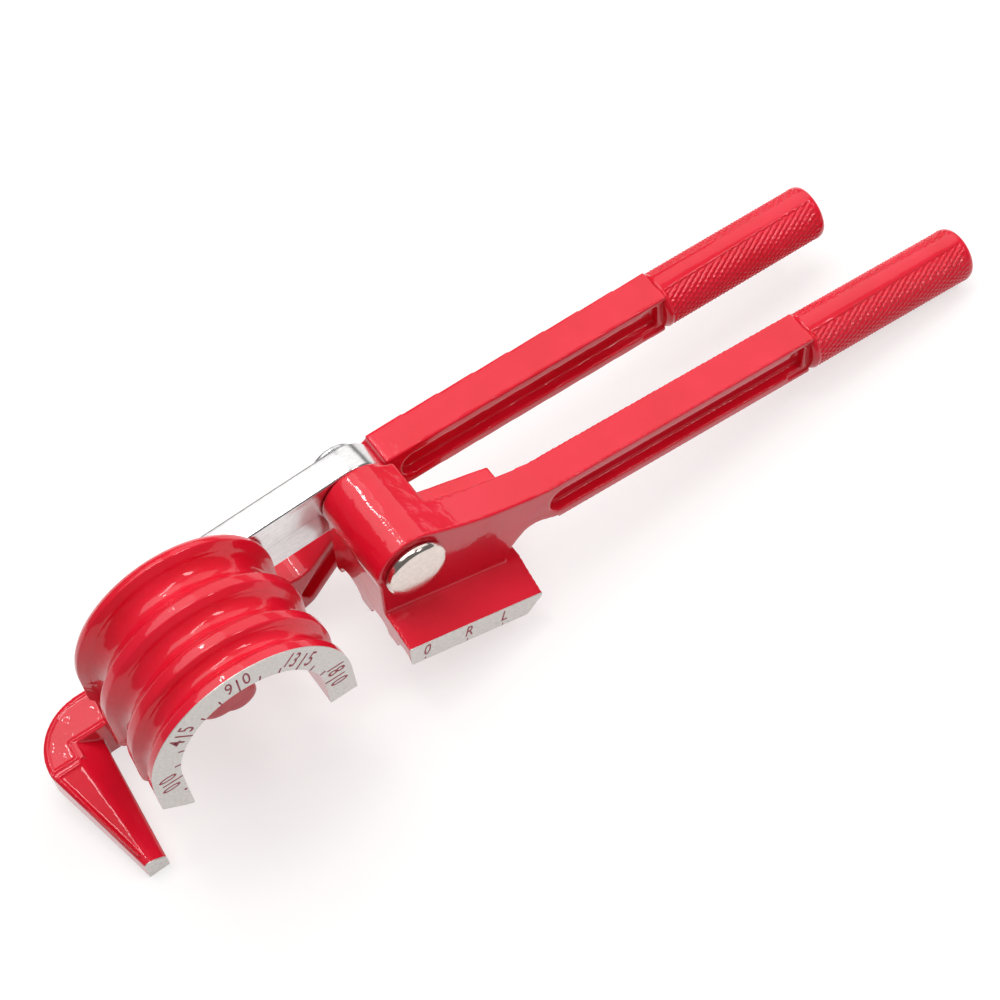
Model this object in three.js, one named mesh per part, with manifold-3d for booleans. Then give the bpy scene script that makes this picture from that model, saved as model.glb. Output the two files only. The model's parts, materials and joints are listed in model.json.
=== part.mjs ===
// A hand tube bender for three tube sizes, lying on a bench.
// Millimetres, X along the handles, Y from the scale face to the back, Z up.
// It is drawn upright about the drum's centre, then leant as it lies on its latch, foot and grip.

import * as THREE from "three";
import * as BufferGeometryUtils from "three/addons/utils/BufferGeometryUtils.js";
import Module from "manifold-3d";

const wasm = await Module();
wasm.setup();

// Sizes that drive the whole tool
const crest_radius = 30.5;
const drum_wall = 8.5;
const link_reach = 60;
const small_tube_diameter = 6;
const small_tube_flare = 0.7;
const middle_tube_diameter = 8;
const middle_tube_flare = 1.3;
const large_tube_diameter = 10;
const large_tube_flare = 1.2;
const tube_play = 0.3;
const front_land = 2.8;
const ridge_land = 3.05;
const running_gap = 0.3;
const press_gap = 0.05;
const pin_play = 0.3;
const overrun = 2;

// Angles, in degrees
const quarter_turn = 90;
const half_turn = 180;

// How the tool lies
const lie_angle = 3.44;
const link_angle = 3.1;
const shoe_tilt = 18.2;
const main_handle_tilt = 2.1;
const shoe_handle_rise = 13.33;

// The bench's plane meets the drum's level this far to the right
const floor_reach = 800;

// Back web of the drum, its bosses and its legs
const web_thickness = 3.1;
const flange_radius = 29.3;
const leg_half_width = 29.2;
const leg_drop = 45.8;
const leg_corner = 6;
const web_arc_start = 8;
const web_edge = 1.1;
const left_foot_outer_drop = 12.5;
const left_foot_inner_drop = 17.5;
const right_foot_drop = 11;
const foot_corner = 2.5;
const centre_boss_radius = 9;
const centre_boss_length = 10;
const latch_boss_radius = 7.5;
const latch_boss_length = 15;
const latch_lobe_radius = 5.8;
const latch_lobe_out = 5;
const latch_lobe_drop = 3.5;
const boss_rib_width = 12;
const boss_floor = 4;

// Latch: an L of its own, lying flat behind the web with its finger across the grooves
const latch_pivot_drop = 25;
const latch_hub_radius = 9.5;
const latch_hub_start = -75;
const latch_hub_end = 120;
const latch_web_gap = 0.8;
const latch_width = 13.1;
const latch_reach = 49.4;
const latch_corner = 18;
const latch_top_drop = 33.9;
const latch_outer_height = 9.6;
const latch_shoulder_x = 23;
const latch_heel_x = 37;
const latch_belly_x = 8;
const finger_ridge_inset = 10.2;
const finger_elbow_inset = 9.2;
const finger_inner_x = 31.5;
const finger_inner_fall = 6.5;
const finger_tip_depth = 4.9;
const finger_tip_x = 41.2;
const finger_tip_width = 6.5;
const finger_tip_height = 8.8;
const finger_tip_fall = 3.2;
const finger_tip_ridge = 0.4;

// Link
const link_half_width = 10.35;
const link_thickness = 9;
const link_edge = 1.2;

// Shoe casting
const shoe_depth = 29;
const shoe_front_inset = 2.5;
const shoe_back_inset = 1.4;
const shoe_toe = 2.8;
const shoe_length = 43.3;
const shoe_base = 11;
const ledge_fall = 3.2;
const shoe_bevel_length = 3.5;
const shoe_bevel_height = 6.5;
const hub_radius = 11;
const hub_front_inset = 14.7;
const neck_reach = 10.3;
const neck_height = 8.8;
const shoulder_height = 7.6;
const shoulder_shares = { near: 0.4, far: 0.72 };
const rear_web_height = 2.6;
const rear_web_end_height = 1.2;
const rear_web_width = 8.4;
const rear_web_start = 11;
const rear_web_slant = 2;
const bend_reach = 46;
const gusset_lead = 3.6;
const gusset_radius = 10.2;
const gusset_turn = 82;

// Handles
const shank_width = 11.4;
const shank_height = 16;
const shank_edge = 0.8;
const slot_height = 9.4;
const slot_depth = 3.6;
const slot_tail = 2.6;
const shoe_seam = 6;
const shoe_slot_start = 1;
const main_slot_start = 3;
const shoe_shank_length = 87.5;
const main_shank_length = 94.8;
const grip_radius = 8.6;
const shoe_grip_length = 61;
const main_grip_length = 58.5;
const grip_end_round = 2;
const grip_collar = 1;
const main_handle_inset = 7.8;
const main_shank_lead = 14.09;
const main_shank_drop = 7.6;
const arm_clearance = 0.5;
const arm_dip_angle = 46.8;
const arm_dip_rise = 6;
const arm_dip_fall = 33;
const arm_foot_lag = 19.41;
const arm_foot_height = 16;
const arm_knee_reach = 10.4;
const arm_knee_height = 11;
const arm_root_x = 13.5;
const arm_root_height = 25;
const arm_flange = 3.2;
const arm_sole_share = 1.3;
const arm_recess_depth = 3.6;

// Pins, washers and retaining rings
const centre_pin_radius = 4;
const centre_head_radius = 7;
const pivot_pin_radius = 5;
const pivot_head_radius = 9.4;
const pivot_head_length = 2.5;
const pivot_head_dome = 0.9;
const dome_shares = { radius: 0.6, height: 0.64 };
const latch_pin_radius = 3.5;
const pin_head_length = 2;
const washer_width = 3;
const washer_thickness = 1;
const ring_width = 2.4;
const ring_thickness = 1;
const ring_groove_depth = 0.8;
const ring_opening = 70;
const pin_tail = 1.3;
const pin_chamfer = 0.5;

// Facets, and how near two points count as one
const turn_steps = 64;
const arc_steps = 8;
const merge_share = 1e-6;

// Turns a section drawn in X and Y, filled along Z, to lie in Y and Z and run along X
const alongX = new THREE.Matrix4().set(0, 0, 1, 0, 1, 0, 0, 0, 0, 1, 0, 0, 0, 0, 0, 1);

// Places worked out from the sizes
const tubes = [
  { diameter: small_tube_diameter, flare: small_tube_flare },
  { diameter: middle_tube_diameter, flare: middle_tube_flare },
  { diameter: large_tube_diameter, flare: large_tube_flare },
];
const drum_inner_radius = crest_radius - drum_wall;
const mouth_width = (tube) => tube.diameter + tube_play + 2 * tube.flare;
const groove_centres = [];
let groove_front = front_land;
for (const tube of tubes) {
  groove_centres.push(groove_front + mouth_width(tube) / 2);
  groove_front += mouth_width(tube) + ridge_land;
}
const drum_depth = groove_front - ridge_land;
const web_back = drum_depth + web_thickness;
const link_front = web_back + running_gap;
const link_back = link_front + link_thickness;
const latch_front = web_back + latch_web_gap;
const latch_back = latch_front + latch_width;
const main_handle_front = drum_depth + main_handle_inset;
const main_handle_back = main_handle_front + shank_width;
const shoe_back = drum_depth + shoe_back_inset;
const hub_back = link_front - running_gap;
const shank_front = hub_front_inset;
const shank_back = shank_front + shank_width;
const radians = THREE.MathUtils.degToRad;
const floor_slope = Math.tan(radians(lie_angle));
const floorAt = (x) => floor_slope * (x - floor_reach);
const pivot_x = link_reach * Math.cos(radians(link_angle));
const pivot_z = link_reach * Math.sin(radians(link_angle));
const main_shank_x = pivot_x + main_shank_lead;
const arm_foot_x = pivot_x - arm_foot_lag;

// Materials
const red = 0xc4121f;
function redPaint() {
  return new THREE.MeshStandardMaterial({ color: red, roughness: 0.22, metalness: 0.0 });
}
function polishedChrome() {
  return new THREE.MeshStandardMaterial({ color: 0xd8d8d6, roughness: 0.12, metalness: 1.0 });
}
function satinAluminium() {
  return new THREE.MeshStandardMaterial({ color: 0xdcdcdc, roughness: 0.35, metalness: 0.9 });
}
function platedSteel() {
  return new THREE.MeshStandardMaterial({ color: 0xb4b6b8, roughness: 0.3, metalness: 1.0 });
}

// A closed geometry as a solid, facing out
function solid(geometry) {
  const bare = geometry.clone();
  bare.deleteAttribute("normal");
  bare.deleteAttribute("uv");
  const merged = BufferGeometryUtils.mergeVertices(bare, crest_radius * merge_share);
  const vertProperties = new Float32Array(merged.attributes.position.array);
  const corners = merged.index.array;
  const kept = [];
  for (let i = 0; i < corners.length; i += 3) {
    const [a, b, c] = [corners[i], corners[i + 1], corners[i + 2]];
    if (a !== b && b !== c && c !== a) kept.push(a, b, c);
  }
  let volume = 0;
  const point = (i) => new THREE.Vector3().fromArray(vertProperties, 3 * i);
  for (let i = 0; i < kept.length; i += 3) {
    volume += point(kept[i]).dot(point(kept[i + 1]).cross(point(kept[i + 2])));
  }
  if (volume < 0) {
    for (let i = 0; i < kept.length; i += 3) [kept[i], kept[i + 1]] = [kept[i + 1], kept[i]];
  }
  const triVerts = new Uint32Array(kept);
  return new wasm.Manifold(new wasm.Mesh({ numProp: 3, vertProperties, triVerts }));
}

function named(name, shape, material) {
  const data = shape.getMesh();
  const geometry = new THREE.BufferGeometry();
  geometry.setAttribute("position", new THREE.BufferAttribute(data.vertProperties, 3));
  geometry.setIndex(new THREE.BufferAttribute(data.triVerts, 1));
  geometry.computeVertexNormals();
  const mesh = new THREE.Mesh(geometry, material);
  mesh.name = name;
  return mesh;
}

function shapeOf(points) {
  return new THREE.Shape(points.map(([x, y]) => new THREE.Vector2(x, y)));
}

// A side outline of x and z points, or a Shape, filled from one depth to another
function sidePlate(outline, from, to) {
  const shape = outline instanceof THREE.Shape ? outline : shapeOf(outline);
  const options = { depth: to - from, bevelEnabled: false, curveSegments: arc_steps };
  const geometry = new THREE.ExtrudeGeometry(shape, options);
  geometry.rotateX(Math.PI / 2);
  geometry.translate(0, to, 0);
  return solid(geometry);
}

// A turned solid along Y: pairs of radius and depth
function turned(profile, x = 0, z = 0) {
  const points = profile.map(([radius, depth]) => new THREE.Vector2(radius, depth));
  const geometry = new THREE.LatheGeometry(points, turn_steps);
  geometry.translate(x, 0, z);
  return solid(geometry);
}

function rod(radius, from, to, x = 0, z = 0) {
  return turned([[0, from], [radius, from], [radius, to], [0, to]], x, z);
}

function block(x0, x1, y0, y1, z0, z1) {
  const geometry = new THREE.BoxGeometry(x1 - x0, y1 - y0, z1 - z0);
  geometry.translate((x0 + x1) / 2, (y0 + y1) / 2, (z0 + z1) / 2);
  return solid(geometry);
}

function join(...pieces) {
  return pieces.reduce((whole, piece) => whole.add(piece));
}

// Points on an arc in the side view, from one angle to another in degrees
function arc(x, z, radius, from, to, steps = arc_steps) {
  const points = [];
  for (let i = 0; i <= steps; i += 1) {
    const angle = radians(from + ((to - from) * i) / steps);
    points.push([x + radius * Math.cos(angle), z + radius * Math.sin(angle)]);
  }
  return points;
}

// Half a tube groove as seen along the groove: pairs of offset and height from the crest
const flank_angle = 22;
function groovePoints(tube) {
  const radius = (tube.diameter + tube_play) / 2;
  const mouth = mouth_width(tube) / 2;
  const flank = arc(0, 0, radius, half_turn + flank_angle, 2 * half_turn - flank_angle);
  return [[-mouth, 0], ...flank, [mouth, 0]];
}

// The crest line across all three grooves, from the front edge to the back one
function crestLine(crest, front, back) {
  const points = [[crest, front]];
  tubes.forEach((tube, index) => {
    for (const [offset, height] of groovePoints(tube)) {
      points.push([crest + height, groove_centres[index] + offset]);
    }
  });
  if (back > drum_depth) points.push([crest, back]);
  return points;
}

// A skin over rings of points, closed at both ends by the fill of one flat contour
function skinned(rings, contour) {
  const count = contour.length;
  const index = [];
  for (let ring = 0; ring < rings.length - 1; ring += 1) {
    for (let i = 0; i < count; i += 1) {
      const a = ring * count + i;
      const b = ring * count + ((i + 1) % count);
      index.push(a, b, b + count, a, b + count, a + count);
    }
  }
  const last = (rings.length - 1) * count;
  const flat = contour.map(([x, y]) => new THREE.Vector2(x, y));
  for (const [a, b, c] of THREE.ShapeUtils.triangulateShape(flat, [])) {
    index.push(c, b, a, last + a, last + b, last + c);
  }
  const geometry = new THREE.BufferGeometry();
  geometry.setAttribute("position", new THREE.Float32BufferAttribute(rings.flat(2), 3));
  geometry.setIndex(index);
  return solid(geometry);
}

// The drum: a grooved half ring with two straight feet
function drumOutline() {
  const wide = crest_radius + overrun;
  const narrow = drum_inner_radius - overrun;
  return [
    [-wide, wide],
    [-wide, foot_corner - left_foot_outer_drop],
    [-crest_radius, foot_corner - left_foot_outer_drop],
    [foot_corner - crest_radius, -left_foot_outer_drop],
    [-drum_inner_radius, -left_foot_inner_drop],
    [-narrow, -left_foot_inner_drop],
    [narrow, -right_foot_drop],
    [crest_radius - foot_corner, -right_foot_drop],
    [crest_radius, foot_corner - right_foot_drop],
    [wide, foot_corner - right_foot_drop],
    [wide, wide],
  ];
}

function makeDrum() {
  const section = [
    [drum_inner_radius, 0],
    ...crestLine(crest_radius, 0, drum_depth),
    [drum_inner_radius, drum_depth],
  ];
  const longest = left_foot_inner_drop + overrun;
  const rings = [section.map(([radius, depth]) => [-radius, depth, -longest])];
  const steps = turn_steps / 2;
  for (let i = 0; i <= steps; i += 1) {
    const angle = Math.PI * (1 - i / steps);
    rings.push(section.map(([radius, depth]) => [
      radius * Math.cos(angle), depth, radius * Math.sin(angle),
    ]));
  }
  rings.push(section.map(([radius, depth]) => [radius, depth, -longest]));
  const outline = sidePlate(drumOutline(), -overrun, drum_depth + overrun);
  return named("forming_drum", skinned(rings, section).intersect(outline), redPaint());
}

// The web behind the drum, with its legs, bosses and the rib between them
function webOutline(inset) {
  const radius = flange_radius - inset;
  const half = leg_half_width - inset;
  const bottom = -leg_drop + inset;
  const corner = leg_corner - inset;
  return [
    ...arc(0, 0, radius, web_arc_start, half_turn - web_arc_start, 3 * arc_steps),
    [-half, 0],
    ...arc(corner - half, bottom + corner, corner, half_turn, 3 * quarter_turn),
    ...arc(half - corner, bottom + corner, corner, -quarter_turn, 0),
    [half, 0],
  ];
}

function makeBackPlate() {
  const bore = rod(centre_pin_radius + press_gap, 0, web_back + overrun);
  const bossFront = drum_depth - latch_boss_length;
  const bossBack = drum_depth + web_edge;
  const latchBore = rod(
    latch_pin_radius + press_gap, bossFront + boss_floor, latch_back, 0, -latch_pivot_drop);
  const plate = join(
    sidePlate(webOutline(0), drum_depth, web_back - web_edge),
    sidePlate(webOutline(web_edge), web_back - web_edge, web_back),
    rod(centre_boss_radius, drum_depth - centre_boss_length, bossBack),
    rod(latch_boss_radius, bossFront, bossBack, 0, -latch_pivot_drop),
    rod(latch_lobe_radius, bossFront, bossBack, latch_lobe_out, -latch_pivot_drop - latch_lobe_drop),
    block(-boss_rib_width / 2, boss_rib_width / 2,
      drum_depth - centre_boss_length, bossBack, -latch_pivot_drop, 0),
  );
  return named("drum_back_plate", plate.subtract(bore).subtract(latchBore), redPaint());
}

// The main handle: a root on the web, an arm that dips under the link, a shank and a grip
// A point on the arm's slope, which passes just under the link's round end
function onDip(along) {
  const stand = link_half_width + arm_clearance;
  const angle = radians(arm_dip_angle);
  return [
    pivot_x + stand * Math.sin(angle) + along * Math.cos(angle),
    pivot_z - stand * Math.cos(angle) + along * Math.sin(angle),
  ];
}

function armOutline() {
  const half = shank_height / 2;
  return [
    [main_shank_x, half - main_shank_drop],
    onDip(arm_dip_rise),
    onDip(-arm_dip_fall),
    [arm_foot_x, floorAt(arm_foot_x) + arm_foot_height],
    [arm_root_x, floorAt(arm_root_x) + arm_root_height],
    [arm_root_x, floorAt(arm_root_x)],
    [arm_foot_x, floorAt(arm_foot_x)],
    [arm_foot_x + arm_knee_reach, floorAt(arm_foot_x) + arm_knee_height],
    [main_shank_x, -half - main_shank_drop],
  ];
}

// The recess in the arm's front, a flange's width inside its slope and its underside
function armRecess() {
  const angle = radians(arm_dip_angle);
  const inward = ([x, z], sides) => [
    x + sides * arm_flange * Math.sin(angle), z - sides * arm_flange * Math.cos(angle),
  ];
  const knee = [arm_foot_x + arm_knee_reach, floorAt(arm_foot_x) + arm_knee_height];
  const end = [main_shank_x, -shank_height / 2 - main_shank_drop];
  const outline = [
    inward(onDip(0), 1),
    inward(onDip(arm_flange - arm_dip_fall), 1),
    inward(knee, -arm_sole_share),
    inward(end, -arm_sole_share),
  ];
  return sidePlate(outline, main_handle_front - overrun, main_handle_front + arm_recess_depth);
}

function makeArm() {
  const arm = sidePlate(armOutline(), main_handle_front, main_handle_back);
  const root = sidePlate(
    [
      [arm_root_x, floorAt(arm_root_x) + arm_root_height],
      [arm_root_x, floorAt(arm_root_x)],
      [leg_half_width, floorAt(leg_half_width)],
      [leg_half_width, floorAt(arm_foot_x) + arm_foot_height],
    ], web_back, main_handle_front + overrun);
  return named("main_handle_arm", join(arm.subtract(armRecess()), root), redPaint());
}

// A shank's bar along X, and the blind slots that lighten both its sides
function shankBar(start, end, front) {
  const half = shank_height / 2;
  const back = front + shank_width;
  const edge = shank_edge;
  const section = [
    [front + edge, -half], [back - edge, -half], [back, edge - half], [back, half - edge],
    [back - edge, half], [front + edge, half], [front, half - edge], [front, edge - half],
  ];
  const options = { depth: end - start, bevelEnabled: false };
  const geometry = new THREE.ExtrudeGeometry(shapeOf(section), options);
  geometry.applyMatrix4(alongX);
  geometry.translate(start, 0, 0);
  return solid(geometry);
}

function slotsCut(bar, start, end, front, place = (along, across) => [along, across]) {
  const radius = slot_height / 2;
  const back = front + shank_width;
  const slot = [
    ...arc(start + radius, 0, radius, quarter_turn, 3 * quarter_turn),
    [end - slot_tail, -radius],
    [end - slot_tail, radius],
  ].map(([along, across]) => place(along, across));
  return bar
    .subtract(sidePlate(slot, front - overrun, front + slot_depth))
    .subtract(sidePlate(slot, back - slot_depth, back + overrun));
}

// A grip along X from its own origin, centred on the shank
function gripSolid(length, middle) {
  const round = grip_end_round;
  const rounding = arc(length - round, grip_radius - round, round, quarter_turn, 0).map(([x, r]) => [r, x]);
  const start = [[0, 0], [grip_radius - grip_collar, 0], [grip_radius, grip_collar]];
  const profile = [...start, ...rounding, [0, length]];
  const points = profile.map(([radius, along]) => new THREE.Vector2(radius, along));
  const geometry = new THREE.LatheGeometry(points, turn_steps);
  geometry.rotateZ(-Math.PI / 2);
  geometry.translate(0, middle, 0);
  return solid(geometry);
}

function makeMainHandle() {
  const handle = new THREE.Group();
  handle.position.set(main_shank_x, 0, -main_shank_drop);
  handle.rotation.y = radians(main_handle_tilt);
  const clearOfArm = Math.tan(radians(main_handle_tilt)) * (shank_height / 2);
  const bar = shankBar(clearOfArm, main_shank_length, main_handle_front);
  const shank = slotsCut(bar, main_slot_start, main_shank_length, main_handle_front);
  const mesh = named("main_handle_shank", shank, redPaint());
  const grip = named("main_grip",
    gripSolid(main_grip_length, main_handle_front + shank_width / 2), redPaint());
  grip.position.x = main_shank_length;
  handle.add(mesh, grip);
  return handle;
}

// The link bar, its pins' heads and what holds them on at the back
function linkOutline(inset) {
  const radius = link_half_width - inset;
  return [
    ...arc(0, 0, radius, quarter_turn, 3 * quarter_turn, 2 * arc_steps),
    ...arc(link_reach, 0, radius, -quarter_turn, quarter_turn, 2 * arc_steps),
  ];
}

function makeLinkBar() {
  const bar = join(
    sidePlate(linkOutline(link_edge / 2), link_front, link_front + link_edge),
    sidePlate(linkOutline(0), link_front + link_edge, link_back - link_edge),
    sidePlate(linkOutline(link_edge / 2), link_back - link_edge, link_back),
  );
  const centreBore = rod(centre_pin_radius + pin_play, 0, link_back + overrun);
  const pivotBore = rod(pivot_pin_radius + press_gap, 0, link_back + overrun, link_reach);
  return named("link_bar", bar.subtract(centreBore).subtract(pivotBore), satinAluminium());
}

// The tail of a pin behind what it carries: a washer's place, a ring groove and a chamfer
function tailProfile(radius, carried) {
  const ringFront = carried + 2 * running_gap + washer_thickness;
  const ringBack = ringFront + ring_thickness + running_gap;
  const end = ringBack + pin_tail;
  const neck = radius - ring_groove_depth;
  return [
    [radius, ringFront],
    [neck, ringFront],
    [neck, ringBack],
    [radius, ringBack],
    [radius, end - pin_chamfer],
    [radius - pin_chamfer, end],
    [0, end],
  ];
}

function headedPin(radius, headRadius, headFront, headBack, dome, carried, x, z) {
  return turned([
    [0, headFront - dome],
    [headRadius * dome_shares.radius, headFront - dome * dome_shares.height],
    [headRadius - pin_chamfer, headFront],
    [headRadius, headFront + pin_chamfer],
    [headRadius, headBack],
    [radius, headBack],
    ...tailProfile(radius, carried),
  ], x, z);
}

function washerSolid(radius, carried, x, z) {
  const front = carried + running_gap;
  const outer = rod(radius + washer_width, front, front + washer_thickness, x, z);
  return outer.subtract(rod(radius + pin_play, front - overrun, front + overrun, x, z));
}

function ringSolid(radius, carried, x, z) {
  const front = carried + 2 * running_gap + washer_thickness + running_gap / 2;
  const inner = radius - ring_groove_depth + press_gap;
  const outer = radius + ring_width;
  const half = ring_opening / 2;
  const outline = [
    ...arc(x, z, outer, half - quarter_turn, 3 * quarter_turn - half, 3 * arc_steps),
    ...arc(x, z, inner, 3 * quarter_turn - half, half - quarter_turn, 3 * arc_steps),
  ];
  return sidePlate(outline, front, front + ring_thickness);
}

function fastenersOf(name, radius, carried, x, z) {
  return [
    named(`${name}_washer`, washerSolid(radius, carried, x, z), platedSteel()),
    named(`${name}_retaining_ring`, ringSolid(radius, carried, x, z), platedSteel()),
  ];
}

function blindPinSet(name, radius, from, carried, x, z) {
  const pin = turned([[0, from], [radius, from], ...tailProfile(radius, carried)], x, z);
  return [named(`${name}_pin`, pin, platedSteel()), ...fastenersOf(name, radius, carried, x, z)];
}

// The shoe casting, drawn about its hub with X along the grooves
const toe_slope = (hub_radius - shoe_toe) / shoe_depth;
const leftEdge = (depth) => -hub_radius + toe_slope * depth;
const shoe_end = shoe_length - shoe_toe;

function makeShoe() {
  const top = shoe_base - shoe_depth;
  const section = [
    [shoe_front_inset, top - ledge_fall],
    ...crestLine(-shoe_depth, shoe_front_inset, shoe_back).map(([crest, depth]) => [
      depth, -2 * shoe_depth - crest,
    ]),
    [shoe_back, top],
    [hub_front_inset, top],
  ];
  const span = shoe_length + 2 * hub_radius;
  const geometry = new THREE.ExtrudeGeometry(shapeOf(section), { depth: span, bevelEnabled: false });
  geometry.applyMatrix4(alongX);
  geometry.translate(-hub_radius, 0, 0);
  const side = [
    [leftEdge(shoe_depth), -shoe_depth],
    [shoe_end - shoe_bevel_length, -shoe_depth],
    [shoe_end, shoe_bevel_height - shoe_depth],
    [shoe_end, top],
    [leftEdge(-top), top],
  ];
  const shoe = solid(geometry).intersect(sidePlate(side, -overrun, shoe_back + overrun));
  return named("forming_shoe", shoe, redPaint());
}

// Where the hub's web bends into the shank: a point along and across the shank
const rise = radians(shoe_handle_rise);
function onShank(along, across) {
  return [
    bend_reach + along * Math.cos(rise) - across * Math.sin(rise),
    along * Math.sin(rise) + across * Math.cos(rise),
  ];
}

function makeHub() {
  const floor = shoe_base - shoe_depth;
  const half = shank_height / 2;
  const [gussetX, gussetZ] = onShank(gusset_lead, -half);
  const gusset = arc(gussetX, gussetZ - gusset_radius, gusset_radius,
    quarter_turn + shoe_handle_rise, quarter_turn + gusset_turn);
  const web = sidePlate(
    [
      [0, hub_radius],
      [-hub_radius, 0],
      [leftEdge(-floor), floor],
      [gusset.at(-1)[0], floor],
      ...gusset.reverse(),
      onShank(shoe_seam, -half),
      onShank(shoe_seam, half),
      onShank(0, half),
      [bend_reach * shoulder_shares.far, shoulder_height],
      [bend_reach * shoulder_shares.near, shoulder_height],
    ], shank_front, shank_back);
  const rearWeb = sidePlate(
    [
      [rear_web_start, rear_web_height],
      [0, rear_web_height],
      [0, floor],
      [shoe_end, floor],
      [shoe_end - rear_web_slant, rear_web_end_height],
    ], shank_back - overrun, shank_back + rear_web_width);
  const neck = sidePlate(
    [
      [0, hub_radius],
      [-hub_radius, 0],
      [leftEdge(-floor), floor],
      [hub_radius, floor],
      [neck_reach, neck_height],
    ], shank_back, shoe_back);
  const hub = join(rod(hub_radius, hub_front_inset, hub_back), web, rearWeb, neck);
  const bore = rod(pivot_pin_radius + pin_play, 0, hub_back + overrun);
  const slotEnd = shoe_seam + shoe_shank_length;
  return slotsCut(hub.subtract(bore), shoe_slot_start, slotEnd, shank_front, onShank);
}

function makeShoeHandle() {
  const casting = new THREE.Group();
  const reach = new THREE.Vector3(link_reach, 0, 0).applyAxisAngle(
    new THREE.Vector3(0, 1, 0), -radians(link_angle));
  casting.position.copy(reach);
  casting.rotation.y = radians(shoe_tilt);
  const handle = new THREE.Group();
  handle.position.x = bend_reach;
  handle.rotation.y = -rise;
  const end = shoe_seam + shoe_shank_length;
  const bar = shankBar(shoe_seam, end, shank_front);
  const shank = named("shoe_handle_shank",
    slotsCut(bar, shoe_slot_start, end, shank_front), redPaint());
  const grip = named("shoe_grip",
    gripSolid(shoe_grip_length, shank_front + shank_width / 2), redPaint());
  grip.position.x = end;
  handle.add(shank, grip);
  casting.add(makeShoe(), named("shoe_hub", makeHub(), redPaint()), handle);
  return casting;
}

// The latch's arm: seen from the side it drops from its hub to the bench, from above it
// ends in a wide round corner
const latch_centre_y = latch_back - latch_corner;
const latch_centre_x = latch_corner - latch_reach;

function planPlate(outline, from, to) {
  const options = { depth: to - from, bevelEnabled: false };
  const geometry = new THREE.ExtrudeGeometry(shapeOf(outline), options);
  geometry.translate(0, 0, from);
  return solid(geometry);
}

function makeLatchArm() {
  const outerBottom = -latch_top_drop - latch_outer_height;
  const side = sidePlate(
    [
      ...arc(0, -latch_pivot_drop, latch_hub_radius, latch_hub_start, latch_hub_end, 2 * arc_steps),
      [-latch_shoulder_x, -latch_top_drop],
      [-latch_reach, -latch_top_drop],
      [-latch_reach, outerBottom],
      [-latch_heel_x, floorAt(-latch_heel_x)],
      [-latch_belly_x, floorAt(-latch_belly_x)],
    ], latch_front, latch_back);
  const plan = planPlate(
    [
      [latch_hub_radius + overrun, latch_front],
      [latch_hub_radius + overrun, latch_back],
      ...arc(latch_centre_x, latch_centre_y, latch_corner, quarter_turn, half_turn, 2 * arc_steps),
      [-latch_reach, latch_front],
    ].filter(([, depth]) => depth >= latch_front), floorAt(-latch_reach) - overrun, 0);
  const bore = rod(latch_pin_radius + pin_play, 0, latch_back + overrun, 0, -latch_pivot_drop);
  return named("latch_arm", side.intersect(plan).subtract(bore), redPaint());
}

// The finger: three sections from the arm's front to the bare tip
function makeLatchFinger() {
  const top = -latch_top_drop;
  const outerBottom = top - latch_outer_height;
  const inset = latch_front - latch_centre_y;
  const backX = latch_centre_x - Math.sqrt(latch_corner ** 2 - inset ** 2);
  const section = (outerX, outerBottomZ, heelX, innerX, innerZ, ridgeX, ridgeZ, outerZ) => [
    [outerX, outerBottomZ],
    [heelX, floorAt(heelX)],
    [innerX, floorAt(innerX)],
    [innerX, innerZ],
    [ridgeX, ridgeZ],
    [outerX, outerZ],
  ];
  const innerX = -finger_inner_x;
  const tipOuter = -finger_tip_x;
  const tipInner = tipOuter + finger_tip_width;
  const tipTop = floorAt(tipOuter) + finger_tip_height;
  const tipHeel = tipOuter + finger_tip_width / 2;
  const fall = (latch_centre_y - finger_tip_depth) / (latch_front - finger_tip_depth);
  const elbowInner = tipInner + (innerX - tipInner) * fall;
  const sections = [
    section(backX, outerBottom, -latch_heel_x, innerX, top - finger_inner_fall,
      backX + finger_ridge_inset, top, top),
    section(-latch_reach, outerBottom, -latch_heel_x, elbowInner, top - finger_inner_fall,
      -latch_reach + finger_elbow_inset, top, top),
    section(tipOuter, floorAt(tipOuter), tipHeel, tipInner, tipTop - finger_tip_fall,
      tipOuter + finger_tip_ridge, tipTop, tipTop - finger_tip_ridge),
  ];
  const depths = [latch_front, latch_centre_y, finger_tip_depth];
  const rings = sections.map((points, i) => points.map(([x, z]) => [x, depths[i], z]));
  return named("latch_finger", skinned(rings, sections[0]), redPaint());
}

// The whole tool
const link = new THREE.Group();
link.rotation.y = -radians(link_angle);
link.add(
  makeLinkBar(),
  named("pivot_pin", headedPin(pivot_pin_radius, pivot_head_radius,
    hub_front_inset - running_gap - pivot_head_length, hub_front_inset - running_gap,
    pivot_head_dome, link_back, link_reach, 0), polishedChrome()),
  ...fastenersOf("pivot", pivot_pin_radius, link_back, link_reach, 0),
);

const tool = new THREE.Group();
tool.rotation.y = radians(lie_angle);
tool.add(
  makeDrum(),
  makeBackPlate(),
  makeArm(),
  makeMainHandle(),
  link,
  makeShoeHandle(),
  makeLatchArm(),
  makeLatchFinger(),
  named("centre_pin", headedPin(centre_pin_radius, centre_head_radius,
    drum_depth - centre_boss_length - pin_head_length, drum_depth - centre_boss_length,
    0, link_back, 0, 0), platedSteel()),
  ...fastenersOf("centre", centre_pin_radius, link_back, 0, 0),
  ...blindPinSet("latch", latch_pin_radius, drum_depth - latch_boss_length + boss_floor,
    latch_back, 0, -latch_pivot_drop),
);

// The frame's origin is the middle of the box's bottom face
const assembly = new THREE.Group();
assembly.add(tool);
assembly.updateMatrixWorld(true);
const bounds = new THREE.Box3().setFromObject(assembly, true);
const middle = bounds.getCenter(new THREE.Vector3());
tool.position.set(-middle.x, -middle.y, -bounds.min.z);
assembly.updateMatrixWorld(true);

export default assembly;
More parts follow.
